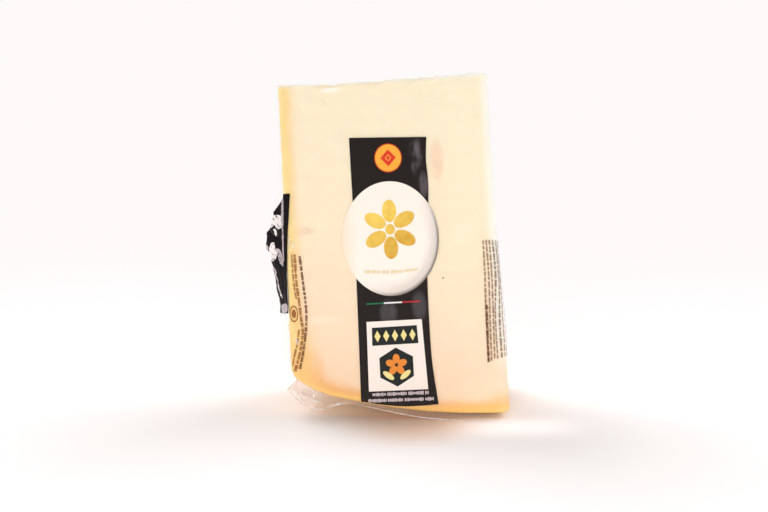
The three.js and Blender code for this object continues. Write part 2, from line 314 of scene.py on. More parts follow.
def film_relief(across, arc, radius):
    """Small ripples of the shrunk film, in mm, with pleats along the rounded side and at the tip."""
    points = np.stack(np.broadcast_arrays(across, arc, radius), -1)
    near_side = 1 - ease(side_radius(across) - radius, 0, SIDE_PLEAT_REACH)
    near_tip = 1 - ease(radius - tip_radius(across), 0, TIP_PLEAT_REACH)
    relief = FILM_LIFT + sum(height * waves(points, length, seed) for height, length, seed in RIPPLES)
    relief = relief + SIDE_PLEAT_HEIGHT * np.maximum(0, waves(points * (1, 1, 0.25), 9, 5)) * near_side
    relief = relief + TIP_PLEAT_HEIGHT * np.maximum(0, waves(points * (1, 1, 0.2), 7, 6)) * near_tip
    at_back = ease(arc, -2, 6)
    return relief + BACK_FOLD_HEIGHT * np.maximum(0, folds(points, BACK_FOLD_LENGTH, 8)) * at_back


def on_pack(along, radius, lift):
    """A point over the film. Along runs over the front from the middle cut, and on round both ends."""
    across = np.clip(along, 0, HALF_HEIGHT)
    arc = np.maximum(-along, 0) + np.maximum(along - HALF_HEIGHT, 0) - half_arc(radius)
    return on_wedge(across, arc, radius, film_relief(across, arc, radius) + lift)


# Meshes

def quads(index):
    return np.stack([index[:-1, :-1], index[1:, :-1], index[1:, 1:], index[:-1, 1:]], -1).reshape(-1, 4)


def box_grid(*lines):
    """Corners, as shares, and quads of a closed box whose sides are cut by three sets of lines."""
    corners, faces, count = [], [], 0
    for axis in range(3):
        along, beside = (axis + 1) % 3, (axis + 2) % 3
        rows, columns = len(lines[along]), len(lines[beside])
        for end in (0, -1):
            side = np.empty((rows, columns, 3))
            side[..., axis] = lines[axis][end]
            side[..., along] = lines[along][:, None]
            side[..., beside] = lines[beside][None, :]
            sides = quads(np.arange(rows * columns).reshape(rows, columns) + count)
            corners.append(side.reshape(-1, 3))
            faces.append(sides if end else sides[:, ::-1])
            count += rows * columns
    corners, index = np.unique(np.concatenate(corners).round(9), axis=0, return_inverse=True)
    return corners, index.reshape(-1)[np.concatenate(faces)]


def plate(near, far, closed=False):
    """A thin plate between two grids of points; closed joins its last column to its first."""
    rows, columns = near.shape[:2]
    index = np.arange(rows * columns).reshape(rows, columns)
    if closed:
        index = np.hstack([index, index[:, :1]])
    under = index + rows * columns
    rims = [np.stack([index[0], under[0]]), np.stack([under[-1], index[-1]])]
    if not closed:
        rims += [np.stack([under[:, 0], index[:, 0]]), np.stack([index[:, -1], under[:, -1]])]
    faces = np.concatenate([quads(index), quads(under)[:, ::-1], *map(quads, rims)])
    return np.concatenate([near.reshape(-1, 3), far.reshape(-1, 3)]), faces


def add_piece(name, parts, finish, replaces=None, sharp=35):
    """A mesh from parts of points, in mm, and quads: joined, with its faces turned outwards."""
    points, faces, count = [], [], 0
    for some_points, some_faces in parts:
        points.append(some_points)
        faces.append(some_faces + count)
        count += len(some_points)
    mesh = bpy.data.meshes.new(name)
    mesh.from_pydata(((np.concatenate(points) + PLACE) * MM).tolist(), [], np.concatenate(faces).tolist())
    shape = bmesh.new()
    shape.from_mesh(mesh)
    bmesh.ops.remove_doubles(shape, verts=shape.verts, dist=1e-7)
    bmesh.ops.dissolve_degenerate(shape, edges=shape.edges, dist=1e-8)
    bmesh.ops.recalc_face_normals(shape, faces=shape.faces)
    shape.to_mesh(mesh)
    shape.free()
    mesh.shade_smooth()
    mesh.set_sharp_from_angle(angle=math.radians(sharp))
    mesh.materials.append(finish)
    piece = bpy.data.objects.new(name, mesh)
    bpy.context.scene.collection.objects.link(piece)
    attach(piece, "root")
    if replaces:
        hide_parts(replaces)


# Finishes

def srgb(red, green, blue):
    """A colour given as it looks on a screen, 0 to 255."""
    linear = [c / 12.92 if c <= 0.04045 else ((c + 0.055) / 1.055) ** 2.4 for c in
              (v / 255 for v in (red, green, blue))]
    return (*linear, 1)


class Value:
    """A number that varies over a surface. Sums of it add Math nodes."""

    def __init__(self, finish, socket):
        self.finish = finish
        self.socket = socket

    def maths(self, operation, *others):
        node = self.finish.node("Math", {"operation": operation}, dict(enumerate(others)))
        return Value(self.finish, node.outputs[0])

    def __add__(self, other):
        return self.maths("ADD", self, other)

    def __sub__(self, other):
        return self.maths("SUBTRACT", self, other)

    def __mul__(self, other):
        return self.maths("MULTIPLY", self, other)

    def __truediv__(self, other):
        return self.maths("DIVIDE", self, other)

    def __pow__(self, other):
        return self.maths("POWER", self, other)

    def __rsub__(self, other):
        return self.maths("SUBTRACT", other, self)

    __radd__ = __add__
    __rmul__ = __mul__

    def most(self, other):
        return self.maths("MAXIMUM", self, other)

    def ease(self, low, high):
        sockets = {"Value": self, "From Min": low, "From Max": high}
        node = self.finish.node("MapRange", {"interpolation_type": "SMOOTHSTEP"}, sockets)
        return Value(self.finish, node.outputs["Result"])


class Finish:
    """A material, or the sky, whose nodes are made one by one."""

    def __init__(self, holder):
        self.holder = bpy.data.materials.new(holder) if isinstance(holder, str) else holder
        self.holder.use_nodes = True
        self.tree = self.holder.node_tree
        self.tree.nodes.clear()
        self.place = self.node("TexCoord", {}, {}).outputs["Object"]

    def node(self, kind, settings, sockets):
        """A node of this kind, with its settings made first and then its sockets set or linked."""
        made = self.tree.nodes.new("ShaderNode" + kind)
        for name, setting in settings.items():
            if name == "stops":
                self.set_stops(made.color_ramp.elements, setting)
            else:
                setattr(made, name, setting)
        for name, value in sockets.items():
            value = getattr(value, "socket", value)
            if isinstance(value, bpy.types.NodeSocket):
                self.tree.links.new(value, made.inputs[name])
            else:
                made.inputs[name].default_value = value
        return made

    @staticmethod
    def set_stops(elements, stops):
        for number, (position, colour) in enumerate(stops):
            element = elements[number] if number < 2 else elements.new(position)
            element.position = position
            element.color = colour

    def vectors(self, operation, *others):
        """A vector worked out from others."""
        return self.node("VectorMath", {"operation": operation}, dict(enumerate(others))).outputs["Vector"]

    def measure(self, operation, *others):
        """A number worked out from vectors."""
        node = self.node("VectorMath", {"operation": operation}, dict(enumerate(others)))
        return Value(self, node.outputs["Value"])

    def noise(self, length, detail=2, roughness=0.5, stretch=(1, 1, 1)):
        """Soft noise, 0 to 1, with patches of about this many mm."""
        place = self.vectors("MULTIPLY", self.place, [1 / (length * MM * s) for s in stretch])
        sockets = {"Vector": place, "Scale": 1, "Detail": detail, "Roughness": roughness}
        return Value(self, self.node("TexNoise", {}, sockets).outputs[0])

    def cells(self, length):
        """Distance to the nearest of scattered points about this many mm apart, 0 to 1."""
        node = self.node("TexVoronoi", {}, {"Vector": self.place, "Scale": 1 / (length * MM)})
        return Value(self, node.outputs["Distance"])

    def along(self, way):
        """How far the surface lies along a direction from the wheel's middle, in mm."""
        middle = (PLACE[0] * MM, PLACE[1] * MM, AXIS_HEIGHT * MM)
        return self.measure("DOT_PRODUCT", self.vectors("SUBTRACT", self.place, middle), way) / MM

    def wheel_place(self):
        """Across and radius of the surface in the wheel, and how far it lies behind the middle, in mm."""
        across = self.along((-math.cos(LEAN), 0, -math.sin(LEAN)))
        down = self.along((math.sin(LEAN), 0, -math.cos(LEAN)))
        beside = self.along((0, 1, 0))
        return across, (down * down + beside * beside) ** 0.5, beside

    def mix(self, factor, first, second, blend="MIX"):
        """A colour between two others."""
        node = self.node("Mix", {"data_type": "RGBA", "blend_type": blend}, {0: factor, 6: first, 7: second})
        return node.outputs[2]

    def ramp(self, stops, factor):
        """The colour at a place in a row of colours."""
        return self.node("ValToRGB", {"stops": stops}, {"Fac": factor}).outputs[0]

    def bump(self, height, depth):
        """A normal from a height of 0 to 1 over this many mm."""
        return self.node("Bump", {}, {"Height": height, "Strength": 1, "Distance": depth * MM}).outputs[0]

    def surface(self, sockets):
        shader = self.node("BsdfPrincipled", {}, sockets)
        self.node("OutputMaterial", {}, {"Surface": shader.outputs[0]})
        return self.holder

    def printed(self, colour, roughness, gloss, coat, ripple_length, ripple_depth, coat_roughness=0.12):
        """Print under gloss film, with ripples in mm."""
        return self.surface({
            "Base Color": colour,
            "Roughness": roughness,
            "Specular IOR Level": gloss,
            "Coat Weight": coat,
            "Coat Roughness": coat_roughness,
            "Normal": self.bump(self.noise(ripple_length, 2), ripple_depth),
        })


def spot(across, radius, centre, radii):
    """1 in the middle of a soft round patch in the wheel, 0 outside it."""
    side = (across - centre[0]) / radii[0]
    down = (radius - centre[1]) / radii[1]
    return 1 - (side * side + down * down).ease(0.1, 1)


FLOOR_COLOUR = srgb(252, 247, 247)
# Painted warm light: a warm tint of the floor's colour in the shadow in front of the cheese.
PAINTED_WARM_LIGHT_COLOUR = srgb(252, 224, 206)
PAINTED_WARM_LIGHT_CENTRE, PAINTED_WARM_LIGHT_RADII = (0.014, -0.045, 0), (0.046, 0.05)
WALL_COLOUR = (0.985, 0.955, 0.947, 1)
PASTE_BY_RADIUS = [
    (0, srgb(254, 240, 210)),
    (0.5, srgb(254, 234, 204)),
    (0.75, srgb(254, 226, 196)),
    (1, srgb(252, 217, 183)),
]
RIND_BY_DEPTH = [
    (0, srgb(248, 202, 116)),
    (0.3, srgb(250, 194, 116)),
    (0.62, srgb(248, 190, 124)),
    (1, srgb(250, 212, 170)),
]
FLAT_RIND_BY_DEPTH = [
    (0, srgb(254, 231, 170)),
    (0.35, srgb(253, 221, 150)),
    (0.7, srgb(253, 218, 156)),
    (1, srgb(253, 224, 184)),
]
# Painted shade: the paste on the back face is made darker, against the stronger light from behind.
BACK_PAINTED_SHADE = (0.87, 0.84, 0.8, 1)
# Soft patches on the front, as centre, radii, colour and strength: stains, mottles, and painted light of the
# film.
STAINS_AND_PAINTED_LIGHT = [
    ((107, 98.3), (9, 3), srgb(232, 198, 168), 0.4),
    # Painted highlight: a pale glint of the film by the left print.
    ((112.2, 106.3), (3, 5), srgb(253, 238, 220), 0.6),
    # Painted shade of a film wrinkle beside the band.
    ((31, 63), (5, 15), srgb(250, 212, 180), 0.65),
    # Painted highlight of the film near the tip.
    ((88, 20.4), (7, 1.8), srgb(255, 252, 242), 0.7),
    ((18, 105), (9, 7), srgb(255, 244, 214), 0.35),
    ((43, 151), (7, 6), srgb(255, 240, 212), 0.35),
    # Painted highlight along a fold of the film.
    ((98, 148), (14, 3), srgb(255, 240, 216), 0.35),
    ((108, 177), (12, 17), srgb(236, 170, 104), 0.45),
    ((31.1, 128.3), (0.9, 0.6), srgb(150, 105, 75), 0.8),
]


def paste_colour(finish, across, radius, behind, soft):
    """Paler towards the tip, with the stains of the front and its painted highlights and painted shade of the
    film.
    """
    depth = radius / WHEEL_RADIUS + (across - 60) * 0.002
    colour = finish.ramp(PASTE_BY_RADIUS, depth + (soft - 0.5) * 0.18)
    broken = (0.6 + finish.noise(3, 2) * 0.8) * (1 - behind.ease(-3, 3))
    for centre, radii, stain_and_painted_light, strength in STAINS_AND_PAINTED_LIGHT:
        colour = finish.mix(spot(across, radius, centre, radii) * broken * strength, colour, stain_and_painted_light)
    return colour


def add_side_rind(finish, colour, across, radius, soft):
    """The rounded rind: thicker towards both ends, and darker away from the middle cut."""
    edge = ((across - WHEEL_EDGE_START) / (HALF_HEIGHT - WHEEL_EDGE_START)).most(0)
    side = WHEEL_RADIUS - across * across / (2 * SIDE_PROFILE_RADIUS)
    side = side - edge ** WHEEL_EDGE_POWER * WHEEL_EDGE_DROP
    thicker = across.ease(75, 115) * 0.45 + (1 - across.ease(0, 16)) * 0.5
    depth = (side - radius + (soft - 0.5) * 6) / (1 + thicker)
    rind = finish.ramp(RIND_BY_DEPTH, depth / 10)
    inner = across.ease(60, 105) * depth.ease(2, 5)
    rind = finish.mix(inner * 0.65, rind, srgb(240, 174, 102))
    return finish.mix(1 - depth.ease(3, 12), colour, rind)


def add_flat_rind(finish, colour, across, radius, soft):
    """The flat rind: thicker and darker towards the rounded side."""
    depth = (HALF_HEIGHT - across + (soft - 0.5) * 3) / (1 + radius.ease(130, 180) * 0.8)
    rind = finish.ramp(FLAT_RIND_BY_DEPTH, depth / 9)
    rind = finish.mix(radius.ease(95, 150) * 0.5, rind, srgb(251, 204, 130))
    rind = finish.mix(radius.ease(150, 185) * 0.55, rind, srgb(246, 188, 110))
    return finish.mix(1 - depth.ease(3, 13), colour, rind)


def cheese_finish():
    finish = Finish("pale hard cheese")
    across, radius, behind = finish.wheel_place()
    soft = finish.noise(22, 3)
    grain = finish.noise(1.3, 4, 0.6)
    crystals = 1 - finish.cells(3.6).ease(0.05, 0.16)
    colour = paste_colour(finish, across, radius, behind, soft)
    colour = add_side_rind(finish, colour, across, radius, soft)
    colour = add_flat_rind(finish, colour, across, radius, soft)
    # Painted highlight: the rounded edges at the middle cut and along the tip are painted paler, on the front
    # half only.
    painted_edge_highlight = (1 - across.ease(0.5, 7)) * (1 - radius.ease(150, 188) * 0.9)
    painted_edge_highlight = painted_edge_highlight.most(1 - (radius - TIP_RADIUS).ease(0, 3.5))
    painted_edge_highlight = painted_edge_highlight * (1 - (radius * math.sin(HALF_ANGLE) + behind).ease(1, 9))
    colour = finish.mix(painted_edge_highlight * 0.85, colour, srgb(255, 254, 244))
    # Painted shade: the face at the back is darkened.
    colour = finish.mix(behind.ease(-3, 4), colour, BACK_PAINTED_SHADE, "MULTIPLY")
    colour = finish.mix(crystals * 0.25, colour, srgb(255, 247, 230))
    colour = finish.mix((grain - 0.5).most(0) * 0.3, colour, srgb(236, 196, 146))
    return finish.surface({
        "Base Color": colour,
        "Roughness": 0.55 + grain * 0.2,
        "Normal": finish.bump(grain * 0.6 + crystals * 0.4, 0.25),
        "Subsurface Weight": 0.2,
        "Subsurface Radius": (1.0, 0.55, 0.25),
        "Subsurface Scale": 0.005,
    })


def film_finish(name, veil, haze, at_slant, colour):
    """Clear film under a thin veil: it mirrors at a slant, and is cloudier in patches."""
    finish = Finish(name)
    slant = Value(finish, finish.node("LayerWeight", {}, {"Blend": 0.25}).outputs["Facing"])
    cloud = finish.noise(6, 3).ease(0.55, 0.8)
    across, _, _ = finish.wheel_place()
    return finish.surface({
        "Base Color": colour,
        "Metallic": 0.3,
        "Roughness": 0.14,
        "Alpha": across.ease(14, 42) * veil + slant ** 3 * at_slant + cloud * haze,
        "Normal": finish.bump(finish.noise(2.5, 2), 0.12),
    })


def film_fold_glint_finish():
    """Film folded on itself: glossy, and whitish partly as a double layer and partly as a painted glint."""
    finish = Finish("folded film with painted glint")
    return finish.surface({
        # Painted glint: the whitish colour stands in part for light off the folds.
        "Base Color": srgb(255, 246, 240),
        "Roughness": 0.2,
        "Alpha": 0.25 + finish.noise(3, 2).ease(0.3, 0.75) * 0.45,
    })


def print_finish(name, colour, roughness=0.3, coat=0.2, gloss=0.3, specks=None):
    """Printed ink under gloss film, a little uneven."""
    finish = Finish(name)
    ink = finish.noise(1.1, 3)
    shade = finish.mix(ink * 0.12, colour, tuple(0.85 * c for c in colour[:3]) + (1,))
    if specks:
        shade = finish.mix(finish.noise(1.6, 3, 0.6).ease(0.56, 0.64), shade, specks)
    return finish.printed(shade, roughness + ink * 0.08, gloss, coat, 7, 0.15, coat_roughness=0.1)


def band_finish():
    """Warm black, with faint grey painted reflections where ripples of the film would mirror the light."""
    finish = Finish("warm black print")
    across, radius, _ = finish.wheel_place()
    ink = finish.noise(1.1, 3)
    # Painted reflections: grey streaks in the black's colour stand in for the film's reflections.
    painted_reflections = spot(across, radius, (42.5, 60), (4.5, 13)) * finish.noise(4, 2, 0.5, (1, 1, 3)).ease(0.35, 0.7)
    painted_reflections = painted_reflections.most(spot(across, radius, (62, 146), (6, 9)) * finish.noise(3, 2, 0.5, (1, 1, 4)))
    painted_reflections = painted_reflections.most(spot(across, radius, (45, 143), (5, 10)) * 0.5)
    painted_reflections = painted_reflections.most(spot(across, radius, (39, 76), (3, 9)) * finish.noise(2, 2, 0.5, (1, 1, 4)) * 1.4)
    black = finish.mix(ink * 0.2, srgb(37, 31, 29), srgb(50, 43, 40))
    black_with_painted_reflections = finish.mix(painted_reflections * 0.6, black, srgb(120, 112, 116))
    return finish.printed(black_with_painted_reflections, 0.32 + ink * 0.1, gloss=0.2, coat=0.12, ripple_length=9, ripple_depth=0.2)


def disc_finish():
    """White, with a grey shade printed along its lower right rim."""
    finish = Finish("white disc print")
    across, radius, _ = finish.wheel_place()
    side = (DISC_CENTRE[0] - across) / DISC_RADII[0]
    down = (radius - DISC_CENTRE[1]) / DISC_RADII[1]
    out = (side * side + down * down) ** 0.5
    turned = (side * 0.78 + down * 0.63).ease(-0.05, 0.85)
    rim = out.ease(0.88, 1.02) * turned
    inner = out.ease(0.68, 0.95) * turned * 0.3
    white = finish.mix(finish.noise(1.2, 2) * 0.08, srgb(254, 242, 230), srgb(240, 228, 218))
    white = finish.mix((1 - side.ease(-1, -0.65)) * 0.9, white, srgb(252, 229, 204))
    shaded = finish.mix(rim.most(inner), white, srgb(104, 92, 86))
    return finish.printed(shaded, 0.34, gloss=0.3, coat=0.2, ripple_length=9, ripple_depth=0.15)


def gold_finish():
    """Golden yellow, deeper towards the lower right."""
    finish = Finish("golden print")
    across, radius, _ = finish.wheel_place()
    deeper = ((radius - ROSETTE_CENTRE[1]) - (across - ROSETTE_CENTRE[0]) * 0.6).ease(-14, 16)
    wave = finish.noise(5, 2).ease(0.35, 0.7)
    gold = finish.mix(deeper * 0.7 + wave * 0.3, srgb(250, 212, 96), srgb(214, 160, 44))
    return finish.surface({"Base Color": gold, "Roughness": 0.32, "Coat Weight": 0.4, "Coat Roughness": 0.12})


# Printed shapes: grids of places as distance along the front and radius

def four_sided(corners, rows, columns):
    """A grid between the corners, given as top left, top right, bottom left, bottom right."""
    top_left, top_right, bottom_left, bottom_right = (np.array(c, float) for c in corners)
    down = np.linspace(0, 1, rows + 1)[:, None, None]
    beside = np.linspace(0, 1, columns + 1)[None, :, None]
    top = top_left + (top_right - top_left) * beside
    bottom = bottom_left + (bottom_right - bottom_left) * beside
    return top + (bottom - top) * down


def outline_grid(centre, outline, inner=0.0, turn=0.0, rows=3):
    """A shape whose outline is seen whole from its centre, or a ring if inner is over 0."""
    cosine, sine = math.cos(turn), math.sin(turn)
    turned = np.asarray(outline, float) @ np.array([[cosine, sine], [-sine, cosine]])
    shares = np.linspace(inner, 1, rows + 1)[:, None, None]
    return np.array(centre, float) + shares * turned[None]


def round_grid(centre, radii, inner=0.0, turn=0.0, rows=3, points=48):
    """A filled oval, or a ring if inner is over 0, turned by an angle."""
    angles = np.linspace(0, 2 * math.pi, points, endpoint=False)
    outline = np.stack([radii[0] * np.cos(angles), radii[1] * np.sin(angles)], -1)
    return outline_grid(centre, outline, inner, turn, rows)


def petals(centre, reach, radii, count, points, rows):
    """Ovals in a ring, each pointing away from its centre."""
    grids = []
    for number in range(count):
        turn = 2 * math.pi * number / count
        middle = (centre[0] + reach[0] * math.sin(turn), centre[1] - reach[1] * math.cos(turn))
        grids.append(round_grid(middle, radii, turn=turn, points=points, rows=rows))
    return grids


def regular(corners, radii, per_side=4):
    """The outline of a shape with this many equal straight sides, a corner at the top."""
    angles = math.pi / 2 + 2 * math.pi * np.arange(corners + 1) / corners
    tops = np.stack([radii[0] * np.cos(angles), radii[1] * np.sin(angles)], -1)
    shares = np.arange(per_side)[:, None] / per_side
    return np.concatenate([a + (b - a) * shares for a, b in zip(tops, tops[1:])])


def skin(grid, layer, closed=False, relief=None):
    """A printed shape as a thin plate on the film."""
    along, radius = grid[..., 0], grid[..., 1]
    lift = PRINT_GAP + layer * (PRINT_GAP + PRINT_THICKNESS)
    if relief is not None:
        lift = lift + relief(along, radius)
    return plate(on_pack(along, radius, lift + PRINT_THICKNESS), on_pack(along, radius, lift), closed)


def add_print(name, grids, layer, finish, replaces=None, closed=True):
    """Printed shapes on one layer over the film."""
    add_piece(name, [skin(grid, layer, closed) for grid in grids], finish, replaces)


def ticks(path, height, seed, reach=(0.35, 0.6), word=(3, 9), bold=0.0):
    """Short strokes in groups along a smooth path, like a line of small print seen from afar."""
    draw = np.random.default_rng(seed)
    line = smooth_line(path, np.linspace(0, 1, 200))
    steps = np.linalg.norm(np.diff(line, axis=0), axis=1)
    length = np.concatenate([[0], np.cumsum(steps)])
    grids, place = [], 0.0
    while place < length[-1] - 2:
        for _ in range(draw.integers(*word)):
            width = draw.uniform(*reach)
            tall = height * draw.uniform(0.6, 1.1)
            ends = np.array([place, place + width])
            if ends[1] > length[-1]:
                break
            spine = np.stack([np.interp(ends, length, line[:, k]) for k in range(2)], -1)
            way = (spine[1] - spine[0]) / width
            across = np.array([way[1], -way[0]]) * (tall + bold) / 2
            grids.append(np.stack([spine + across, spine - across]))
            place += width + draw.uniform(0.1, 0.2)
        place += draw.uniform(0.4, 0.8)
    return grids


# Pieces

def add_cheese():
    shares, faces = box_grid(np.linspace(0, 1, 84), np.linspace(-1, 1, 56), np.linspace(0, 1, 132))
    across, arc, radius = by_share(*shares.T)
    points = np.stack([across, arc, radius], -1)
    knife_marks = KNIFE_MARK_DEPTH * waves(points * (0.3, 1, 1), 7, 22)
    pits = PIT_DEPTH * np.maximum(0, waves(points, 4.5, 23) - 0.9)
    at_tip = 1 - ease(radius - tip_radius(across), 0, TEAR_REACH)
    tears = TEAR_DEPTH * np.maximum(0, folds(points, 9, 21)) * at_tip
    lift = np.minimum(0, -KNIFE_MARK_DEPTH - knife_marks - pits - tears) - CHEESE_UNDER_FILM
    shape = on_wedge(across, arc, radius, lift, loose=0.0)
    add_piece("cheese", [(shape, faces)], cheese_finish(), "sealed_bag", sharp=80)


def add_film():
    shares, faces = box_grid(np.linspace(0, 1, 101), np.linspace(-1, 1, 70), np.linspace(0, 1, 161))
    across, arc, radius = by_share(*shares.T)
    points = np.stack([across, arc, radius], -1)
    loose = fold_height(arc / half_arc(radius), radius) * ease(across, HALF_HEIGHT - 4, HALF_HEIGHT)
    crumple = CRUMPLE_HEIGHT * folds(points, CRUMPLE_LENGTH, 31) * ease(loose, 0.5, 4)
    shape = on_wedge(across, arc, radius, film_relief(across, arc, radius) + crumple)
    finish = film_finish("clear film", veil=0.03, haze=0.02, at_slant=0.28, colour=srgb(255, 250, 244))
    add_piece("film", [(shape, faces)], finish, "sealed_bag", sharp=60)


def lip_and_foot(shares, heights):
    """Middle of the loose end of the bag, as a grid along its seam and down to its rim."""
    def on_front(across, radius, inset):
        return stand(across, inset - half_arc(side_radius(min(across, HALF_HEIGHT))), radius)

    def tucked(across):
        return on_front(across, side_radius(across) - TUCK_UP, TUCK_DEEP)

    def on_rind(around):
        radius = side_radius(HALF_HEIGHT - TUCK_DEEP) - TUCK_UP
        return stand(HALF_HEIGHT - TUCK_DEEP, around * half_arc(radius), radius)

    def lip(across, drop):
        flare = LIP_FLARE * max(0, 1 - across / LIP_FLARE_UNTIL)
        return on_front(across, side_radius(across) + drop, EAR_INSET - flare)

    def foot(share):
        return np.array([FOOT_X + FOOT_INSET * share, FOOT_FRONT + (FOOT_BACK - FOOT_FRONT) * share, 0])

    seam = [tucked(across) for across, _ in LIP_DROPS] + [tucked(across) for across in EAR_ROOTS]
    seam += [on_rind(around) for around in FOOT_ROOTS]
    corner = on_front(*EAR_OUTLINE[-1], EAR_INSET)
    rim = [lip(*row) for row in LIP_DROPS] + [on_front(*row, EAR_INSET) for row in EAR_OUTLINE]
    rim += [corner + (foot(0) - corner) * FOOT_FOLD, foot(0), foot(0.5), foot(1)]
    top = smooth_line(seam, shares)[:, None]
    bottom = smooth_line(rim, shares)[:, None]
    return top + (bottom - top) * heights[None, :, None]


def add_film_end():
    shares = np.linspace(0, 1, 300)
    heights = np.linspace(0, 1, 30)
    middle = lip_and_foot(shares, heights)
    normal = np.cross(np.gradient(middle, axis=0), np.gradient(middle, axis=1))
    normal /= np.maximum(np.linalg.norm(normal, axis=-1, keepdims=True), 1e-9)
    size = ease(shares, 0.05, 0.7)[:, None] * ease(heights, 0, 0.3)[None, :]
    crumple = folds(middle, END_CRUMPLE_LENGTH, 41) + 0.25 * waves(middle, 8, 42)
    middle = middle + normal * (END_CRUMPLE_HEIGHT * crumple * size)[..., None]
    near, far = middle + normal * END_HALF_THICKNESS, middle - normal * END_HALF_THICKNESS
    for side in (near, far):
        side[..., 2] = np.maximum(0, side[..., 2])
    finish = film_finish("clear loose film", veil=0.17, haze=0.08, at_slant=0.25, colour=srgb(246, 212, 186))
    add_piece("film_end", [plate(near, far)], finish, "sealed_bag", sharp=50)
    return middle


def crease(surface, path, width, step):
    """A narrow fold of film along a path of a surface, widest in its middle."""
    first, second = smooth_line(path, np.linspace(0, 1, 33)).T
    point = surface(first, second)
    one_way = surface(first + step, second) - surface(first - step, second)
    other_way = surface(first, second + step) - surface(first, second - step)
    normal = np.cross(one_way, other_way)
    normal /= np.linalg.norm(normal, axis=-1, keepdims=True)
    beside = np.cross(normal, np.gradient(point, axis=0))
    beside /= np.linalg.norm(beside, axis=-1, keepdims=True)
    half = width / 2 * np.sin(np.linspace(0.15, math.pi - 0.15, len(point)))[:, None]
    heights = {side: CREASE_HEIGHT - CREASE_EDGE_DROP * abs(side) for side in (-1, 0, 1)}
    near = np.stack([point + beside * half * side + normal * height for side, height in heights.items()], 1)
    return plate(near, near - normal[:, None] * PRINT_THICKNESS)


def back_creases():
    """The welded seam down the back, and short folds that run in from its edges."""
    def on_back(radius, across):
        arc = half_arc(radius)
        return on_wedge(across, arc, radius, film_relief(across, arc, radius) + BACK_CREASE_LIFT)

    draw = np.random.default_rng(101)
    seam = [(radius, SEAM_ACROSS + SEAM_SWAY * math.sin(radius / 23)) for radius in range(26, 196, 12)]
    parts = []
    for shift in (-SEAM_HALF_WIDTH, SEAM_HALF_WIDTH):
        path = [(radius, across + shift) for radius, across in seam]
        parts.append(crease(on_back, path, SEAM_LINE_WIDTH, CREASE_STEP))
    for number in range(BACK_CREASE_COUNT):
        at_left = number % 2
        start = np.array([draw.uniform(40, 185), 113 if at_left else 5])
        way = np.array([draw.uniform(-8, 8), draw.uniform(10, 30) * (-1 if at_left else 1)])
        bend = np.array([draw.uniform(-3, 3), 0])
        path = [start, start + way / 2 + bend, start + way]
        parts.append(crease(on_back, path, draw.uniform(0.5, 1), CREASE_STEP))
    return parts


def add_creases(film_end):
    """Folds that show as pale lines, with a painted glint: on the loose end, on the front and its left edge,
    and on the back.
    """
    def on_end(share, height):
        last_row, last_column = film_end.shape[0] - 1, film_end.shape[1] - 1
        row = np.clip(share, 0, 1) * last_row
        column = np.clip(height, 0, 1) * last_column
        r = np.minimum(row.astype(int), last_row - 1)
        c = np.minimum(column.astype(int), last_column - 1)
        u, v = (row - r)[..., None], (column - c)[..., None]
        low = film_end[r, c] * (1 - u) + film_end[r + 1, c] * u
        high = film_end[r, c + 1] * (1 - u) + film_end[r + 1, c + 1] * u
        return low * (1 - v) + high * v

    def on_front(along, radius):
        return on_pack(along, radius, FRONT_CREASE_LIFT)

    parts = [crease(on_end, path, width, END_CREASE_STEP) for path, width in END_CREASES]
    parts += [crease(on_front, path, width, CREASE_STEP) for path, width in FRONT_CREASES]
    parts += back_creases()
    add_piece("film_creases", parts, film_fold_glint_finish())


def add_band():
    shares = np.linspace(0, 1, 121)
    left, right = smooth_line(BAND_LEFT, shares), smooth_line(BAND_RIGHT, shares)
    beside = np.linspace(0, 1, 37)[None, :, None]
    grid = left[:, None] + (right - left)[:, None] * beside
    grid[..., 1] += BAND_SAG * np.sin(math.pi * beside[..., 0]) * ease(shares, 0.9, 1)[:, None]
    add_print("printed_band", [grid], 0, band_finish(), "label_band", closed=False)


def add_disc():
    grid = round_grid(DISC_CENTRE, DISC_RADII, rows=26, points=160)
    add_print("printed_disc", [grid], 1, disc_finish(), "label_disc")


def add_seal():
    """A small round orange seal with a red lozenge."""
    dark_rim = print_finish("seal rim print", srgb(196, 62, 34))
    orange = print_finish("orange print", srgb(255, 176, 66))
    red = print_finish("red print", srgb(226, 64, 42))
    rim = round_grid(SEAL_CENTRE, SEAL_RADII, inner=SEAL_RIM_FROM)
    field = round_grid(SEAL_CENTRE, [SEAL_FIELD_TO * radius for radius in SEAL_RADII], rows=6)
    lozenge = outline_grid(SEAL_CENTRE, regular(4, LOZENGE_RADII), inner=LOZENGE_FROM)
    heart = outline_grid(SEAL_CENTRE, regular(4, LOZENGE_HEART_RADII))
    add_print("seal_rim", [rim], 1, dark_rim)
    add_print("seal_field", [field], 2, orange)
    add_print("seal_lozenge", [lozenge, heart], 3, red)


def add_rosette():
    """Golden petals round a small golden middle."""
    heart = round_grid(ROSETTE_CENTRE, ROSETTE_HEART_RADII, points=32)
    ring = petals(ROSETTE_CENTRE, ROSETTE_REACH, ROSETTE_PETAL_RADII, ROSETTE_PETALS, points=36, rows=4)
    add_print("rosette", [heart] + ring, 2, gold_finish())


def add_line():
    """The thin line of three colours."""
    colours = [("green", srgb(30, 112, 74)), ("white", srgb(240, 236, 236)), ("red", srgb(190, 44, 46))]
    low, high = LINE_RADIUS - LINE_WIDTH / 2, LINE_RADIUS + LINE_WIDTH / 2
    for (name, colour), start, end in zip(colours, LINE_ENDS, LINE_ENDS[1:]):
        grid = four_sided([(start, low), (end, low), (start, high), (end, high)], 1, 12)
        finish = print_finish(name + " line print", colour)
        add_print("line_" + name, [grid], 1, finish, closed=False)


